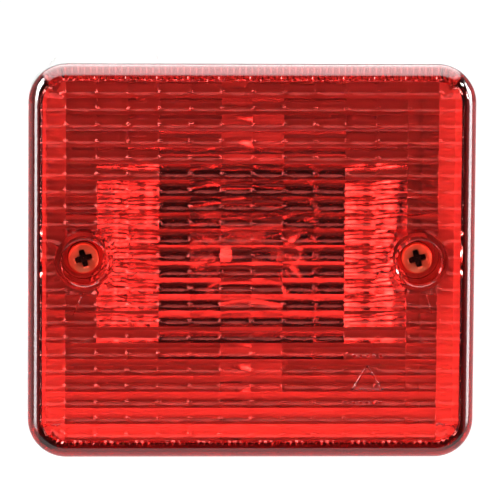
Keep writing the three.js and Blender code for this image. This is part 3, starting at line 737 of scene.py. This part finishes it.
def make_screw(side):
    """A pan-head screw: a turned profile whose head is sunk by a tapered cross recess.

    Head: y = front + dome(r) + recess(u, v), where u and v are along the arms. Shank:
    r = root + depth * triangle(y / pitch - angle / tau), which is a right-hand thread.
    """
    name = "lens_screw_" + side
    low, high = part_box(name)
    centre_x, centre_z = screw_centre(side)
    turn = np.arange(SCREW_SIDES) * math.tau / SCREW_SIDES

    def ring(radius, y):
        radius = np.broadcast_to(radius, turn.shape)
        return np.stack([centre_x + radius * np.cos(turn), np.broadcast_to(y, turn.shape),
                         centre_z + radius * np.sin(turn)], axis=1)

    def recess(radius):
        u = np.abs(radius * np.cos(turn - CROSS_TURN))
        v = np.abs(radius * np.sin(turn - CROSS_TURN))
        along = np.maximum(u, v)
        aside = np.minimum(u, v)
        half = CROSS_HALF * (1 - CROSS_TAPER * along / CROSS_REACH)
        inside = np.clip((half - aside) / CROSS_WALL, 0, 1)
        slope = np.clip((CROSS_REACH - along) / (CROSS_SLOPE * CROSS_REACH), 0, 1)
        return CROSS_DEPTH * inside * slope

    rings = []
    radii = np.linspace(HEAD_CENTRE, HEAD_RADIUS - HEAD_EDGE, HEAD_RINGS)
    for radius in radii:
        dome = HEAD_DOME * (radius / HEAD_RADIUS) ** 2
        rings.append(ring(radius, low.y + dome + recess(radius)))
    edge_y = low.y + HEAD_DOME
    for angle in np.linspace(0, math.pi / 2, HEAD_EDGE_STEPS):
        rings.append(ring(HEAD_RADIUS - HEAD_EDGE * (1 - math.sin(angle)),
                          edge_y + HEAD_EDGE * (1 - math.cos(angle))))
    under = low.y + HEAD_TALL
    rings.append(ring(HEAD_RADIUS, under - FINE_BREAK))
    rings.append(ring(HEAD_RADIUS - FINE_BREAK, under))
    shank = (high.y - low.y) - HEAD_TALL
    root = SHANK_RADIUS - THREAD_DEPTH
    rings.append(ring(root + EDGE_BREAK, under))
    steps = int(shank / THREAD_PITCH * THREAD_STEPS)
    for y in np.linspace(under + EDGE_BREAK, high.y - POINT_START, steps):
        phase = ((y - low.y) / THREAD_PITCH - turn / math.tau) % 1.0
        crest = np.clip(1 - np.abs(phase - 0.5) * THREAD_NARROW, 0, 1)
        grow = min((y - under) / THREAD_RUN_IN, (high.y - y) / THREAD_RUN_OUT, 1.0)
        rings.append(ring(root + THREAD_DEPTH * crest * max(grow, 0), y))
    rings.append(ring(root * 0.75, high.y - POINT_END))
    rings.append(ring(root * 0.45, high.y))
    points, faces = closed_rings(rings)
    made = piece(name + "_threaded", points, faces, PASSIVATED, name, name, 40.0)
    # The faces sunk deeper than CROSS_DARK of the recess depth take the painted shade material
    made.data.materials.append(RECESS_SHADE)
    sunk = np.concatenate([recess(radius) > CROSS_DARK * CROSS_DEPTH for radius in radii])
    ring_count = len(radii) - 1
    marks = np.zeros(len(faces), dtype=np.int32)
    near = sunk[:ring_count * SCREW_SIDES]
    far = sunk[SCREW_SIDES:]
    marks[:ring_count * SCREW_SIDES] = near & far
    made.data.polygons.foreach_set("material_index", marks)
    made.data.update()
    return made


for screw_side in ("left", "right"):
    make_screw(screw_side)


# ---------------------------------------------------------------- wire pieces

def tube_rings(path, radius, sides):
    """A round wire along a path: circles set square to the path's tangent.

    Each circle is spanned by the cross product of the tangent with one fixed direction,
    and by the cross product of the tangent with that.
    """
    tangent = np.gradient(path, axis=0)
    tangent /= np.linalg.norm(tangent, axis=1)[:, None]
    upward = np.cross(tangent, WIRE_FRAME)
    upward /= np.linalg.norm(upward, axis=1)[:, None]
    across = np.cross(tangent, upward)
    turn = np.arange(sides) * math.tau / sides
    spread = (upward[:, None, :] * np.cos(turn)[None, :, None]
              + across[:, None, :] * np.sin(turn)[None, :, None])
    return list(path[:, None, :] + spread * radius)


def make_filament():
    """A coiled tungsten wire: x runs on evenly while y and z go round a small circle."""
    low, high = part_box("bulb_filament")
    centre = (low + high) / 2
    coil = (high.z - low.z) / 2 - FILAMENT_WIRE
    t = np.linspace(0, 1, FILAMENT_TURNS * FILAMENT_STEPS + 1)
    angle = t * FILAMENT_TURNS * math.tau
    path = np.stack([
        low.x + FILAMENT_WIRE + (high.x - low.x - 2 * FILAMENT_WIRE) * t,
        centre.y + coil * np.cos(angle),
        centre.z + coil * np.sin(angle)], axis=1)
    points, faces = closed_rings(tube_rings(path, FILAMENT_WIRE, FILAMENT_SIDES))
    return piece("filament_coil", points, faces, TUNGSTEN, "bulb", "bulb_filament",
                 60.0)


def make_spring():
    """The contact's compression spring: y runs on evenly while x and z circle the stem.
    """
    low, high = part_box("contact_spring")
    centre = (low + high) / 2
    coil = (high.x - low.x) / 2 - SPRING_WIRE
    t = np.linspace(0, 1, SPRING_TURNS * SPRING_STEPS + 1)
    angle = t * SPRING_TURNS * math.tau
    path = np.stack([
        centre.x + coil * np.cos(angle),
        low.y + SPRING_WIRE + (high.y - low.y - 2 * SPRING_WIRE) * t,
        centre.z + coil * np.sin(angle)], axis=1)
    points, faces = closed_rings(tube_rings(path, SPRING_WIRE, SPRING_SIDES))
    made = piece("spring_coil", points, faces, STEEL, "base", "contact_spring",
                 60.0)
    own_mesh(made)
    return made


make_filament()
make_spring()


# ---------------------------------------------------------------- rounded copies

def rounded_copy(node, body, width):
    """The CAD node merged, with flat regions made whole and its edges rounded over."""
    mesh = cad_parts[node].data.copy()
    mesh.name = node + "_rounded"
    work = bmesh.new()
    work.from_mesh(mesh)
    bmesh.ops.remove_doubles(work, verts=work.verts, dist=SAME_POINT)
    bmesh.ops.dissolve_limit(work, angle_limit=FLAT_ANGLE, verts=work.verts,
                             edges=work.edges)
    for face in work.faces:
        face.smooth = True
    for edge in work.edges:
        if len(edge.link_faces) != 2:
            continue
        bend = edge.calc_face_angle(0.0)
        least = min(face.calc_area() for face in edge.link_faces)
        edge.smooth = not (bend > EDGE_ANGLE or (bend > FLAT_ANGLE and least > WIDE_FACE))
    work.to_mesh(mesh)
    work.free()
    made = bpy.data.objects.new(node + "_rounded", mesh)
    bpy.context.scene.collection.objects.link(made)
    if width > 0:
        rim = made.modifiers.new("edge", "BEVEL")
        rim.width = width
        rim.segments = 2
        rim.limit_method = "ANGLE"
        rim.angle_limit = EDGE_ANGLE
        rim.harden_normals = True
    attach(made, body)
    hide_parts(node)
    return made


ROUNDED = (
    ("base_housing", "base", "white_housing", 0.25),
    ("terminal_cover", "base", "white_housing", 0.2),
    ("cable_grommet", "base", "black_rubber", 0.2),
    ("vent_plug", "base", "grey_plastic", 0.12),
    ("mount_insert_left", "base", "plain_brass", 0.12),
    ("mount_insert_right", "base", "plain_brass", 0.12),
    ("reflector", "base", "reflector_mirror", 0.12),
    ("bulb_socket", "base", "screw_steel", 0.08),
    ("socket_bracket", "base", "screw_steel", 0.12),
    ("socket_rivet_left", "base", "nickel_brass", 0.12),
    ("socket_rivet_right", "base", "nickel_brass", 0.12),
    ("contact_disc", "base", "brown_board", 0.1),
    ("live_terminal", "base", "nickel_brass", 0.08),
    ("earth_terminal", "base", "nickel_brass", 0.08),
    ("reflector_screw_upper", "base", "screw_steel", 0.1),
    ("reflector_screw_lower", "base", "screw_steel", 0.1),
    ("contact_plunger", "contact_plunger", "nickel_brass", 0.1),
    ("bulb_cap", "bulb", "nickel_brass", 0.1),
    ("bulb_solder_contact", "bulb", "screw_steel", 0.1),
    ("bulb_glass", "bulb", "bulb_glass", 0.0),
    ("bulb_stem", "bulb", "bulb_glass", 0.0),
    ("bulb_support_left", "bulb", "tungsten", 0.0),
    ("bulb_support_right", "bulb", "tungsten", 0.0),
    ("screw_seal_left", "screw_seal_left", "black_rubber", 0.15),
    ("screw_seal_right", "screw_seal_right", "black_rubber", 0.15),
    ("lens_gasket", "base", "black_rubber", 0.1),
)
for copy_node, copy_body, copy_slot, copy_width in ROUNDED:
    rounded_copy(copy_node, copy_body, copy_width * MM)


# ---------------------------------------------------------------- studio

def make_world():
    """A white studio, told apart by the kind of ray that looks at it.

    The camera sees plain white. Reflections and refractions see a bright roof, a dark front,
    a lit floor and a narrow bright strip at each side. All other light is a soft gradient.
    """
    world = bpy.data.worlds.new("studio")
    bpy.context.scene.world = world
    world.use_nodes = True
    nodes = world.node_tree.nodes
    links = world.node_tree.links
    nodes.clear()
    place = nodes.new("ShaderNodeTexCoord")
    axes = nodes.new("ShaderNodeSeparateXYZ")
    links.new(place.outputs["Generated"], axes.inputs[0])
    x = axes.outputs["X"]
    y = axes.outputs["Y"]
    z = axes.outputs["Z"]
    calc = partial(calculate, nodes, links)

    def step(source, start, end, low, high):
        """A smooth step from low to high as the source goes from start to end."""
        made = nodes.new("ShaderNodeMapRange")
        made.interpolation_type = "SMOOTHSTEP"
        for socket, value in zip(("From Min", "From Max", "To Min", "To Max"),
                                 (start, end, low, high)):
            made.inputs[socket].default_value = value
        links.new(source, made.inputs["Value"])
        return made.outputs[0]

    def background(strength):
        """A white background at one strength, or at a pattern's."""
        made = nodes.new("ShaderNodeBackground")
        made.inputs["Color"].default_value = grey(1.0)
        if isinstance(strength, float):
            made.inputs["Strength"].default_value = strength
        else:
            links.new(strength, made.inputs["Strength"])
        return made.outputs[0]

    def choose(share, first, second):
        """One background where the share is 0, and another where it is 1."""
        made = nodes.new("ShaderNodeMixShader")
        links.new(share, made.inputs[0])
        links.new(first, made.inputs[1])
        links.new(second, made.inputs[2])
        return made.outputs[0]

    surround = step(y, -0.55, 0.15, FRONT_LIGHT, BACK_LIGHT)
    over = calc("SUBTRACT", z, calc("ABSOLUTE", x))
    roof_edge = step(over, -0.02, 0.04, 0.0, TOP_LIGHT)
    roof_start = step(z, 0.37, 0.42, 0.0, 1.0)
    roof_rise = step(z, 0.37, 0.85, 0.5, 1.15)
    roof = calc("MULTIPLY", roof_edge, calc("MULTIPLY", roof_start, roof_rise))
    ground = step(calc("MULTIPLY", z, -1.0), 0.45, 0.65, 0.0, FLOOR_LIGHT)
    left_strip = calc("MULTIPLY", step(x, -0.74, -0.66, 1.0, 0.0), step(x, -0.92, -0.86, 0.0, 1.0))
    right_strip = calc("MULTIPLY", step(x, 0.80, 0.88, 0.0, 1.0), step(x, 0.97, 0.995, 1.0, 0.0))
    front_half = step(y, -0.14, -0.08, 1.0, 0.0)
    fade = step(z, -0.45, 0.35, 0.15, 1.0)
    strips = calc("MULTIPLY", calc("ADD", left_strip, right_strip), front_half)
    strips = calc("MULTIPLY", calc("MULTIPLY", strips, fade), SIDE_LIGHT)
    studio = calc("ADD", calc("ADD", surround, roof), calc("ADD", ground, strips))
    soft = calc("MULTIPLY", step(z, -0.3, 0.9, 0.16, 0.72), step(x, -1.0, 1.0, 1.15, 0.75))

    path = nodes.new("ShaderNodeLightPath")
    mirrored = calc("MAXIMUM", path.outputs["Is Glossy Ray"], path.outputs["Is Transmission Ray"])
    lit = choose(mirrored, background(soft), background(studio))
    seen = choose(path.outputs["Is Camera Ray"], lit, background(1.0))
    output = nodes.new("ShaderNodeOutputWorld")
    links.new(seen, output.inputs[0])


make_world()


def make_floor():
    """A pale floor: a wide level grid with the faintest cloudy tone."""
    x = np.linspace(-FLOOR_HALF_WIDTH, FLOOR_HALF_WIDTH, FLOOR_LINES)
    y = np.linspace(FLOOR_NEAR, FLOOR_FAR, FLOOR_LINES)
    gx, gy = np.meshgrid(x, y, indexing="ij")
    points = np.stack([gx.ravel(), gy.ravel(), np.full(gx.size, FLOOR_HEIGHT)], axis=1)
    number = np.arange(gx.size).reshape(gx.shape)
    cells = np.stack([number[:-1, :-1], number[1:, :-1], number[1:, 1:], number[:-1, 1:]],
                     axis=-1).reshape(-1, 4)
    mesh = bpy.data.meshes.new("floor")
    mesh.from_pydata(points.tolist(), [], cells.tolist())
    made, nodes, links = new_material("pale_floor")
    shader = principled(nodes, links, Roughness=0.9, Specular_IOR_Level=0.0,
                        Emission_Color=grey(1.0), Emission_Strength=FLOOR_GLOW)
    tint = ramp(nodes, links, noise(nodes, links, 1.5), grey(0.60), grey(0.63))
    links.new(tint, shader.inputs["Base Color"])
    mesh.materials.append(made)
    floor = bpy.data.objects.new("floor", mesh)
    bpy.context.scene.collection.objects.link(floor)


make_floor()


def area_light(name, place, power):
    """A small square lamp at a place, turned towards the lamp's front."""
    data = bpy.data.lights.new(name, "AREA")
    data.size = SPOT_SIZE
    data.energy = power
    made = bpy.data.objects.new(name, data)
    bpy.context.scene.collection.objects.link(made)
    made.location = place
    beam = Vector(SPOT_AIM) - Vector(place)
    made.rotation_euler = beam.to_track_quat("-Z", "Y").to_euler()
    return made


def make_camera():
    """The view: a long lens on the lamp's front, a little above and to the left."""
    data = bpy.data.cameras.new("camera")
    data.lens = VIEW_FOCAL_MM
    made = bpy.data.objects.new("camera", data)
    bpy.context.scene.collection.objects.link(made)
    bpy.context.scene.camera = made
    direction = Vector((
        math.sin(VIEW_AZIMUTH) * math.cos(VIEW_ELEVATION),
        -math.cos(VIEW_AZIMUTH) * math.cos(VIEW_ELEVATION),
        math.sin(VIEW_ELEVATION)))
    low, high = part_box("lens")
    aim = Vector(((low.x + high.x) / 2 + AIM_SIDE, low.y, (low.z + high.z) / 2 + AIM_RISE))
    place = aim + direction * VIEW_DISTANCE
    turn = (-direction).to_track_quat("-Z", "Y").to_matrix().to_4x4()
    made.matrix_world = Matrix.Translation(place) @ turn @ Matrix.Rotation(VIEW_ROLL, 4, "Z")
    data.clip_start = 0.05
    data.clip_end = 50.0


make_camera()
for spot_side, spot_power in ((-1, SPOT_POWER_LEFT), (1, SPOT_POWER_RIGHT)):
    area_light("spot_low", (spot_side * 0.71, -0.69, 0.10), spot_power)
    area_light("spot_high", (spot_side * 0.66, -0.62, 0.42), spot_power)
bpy.context.scene.view_settings.view_transform = "Standard"
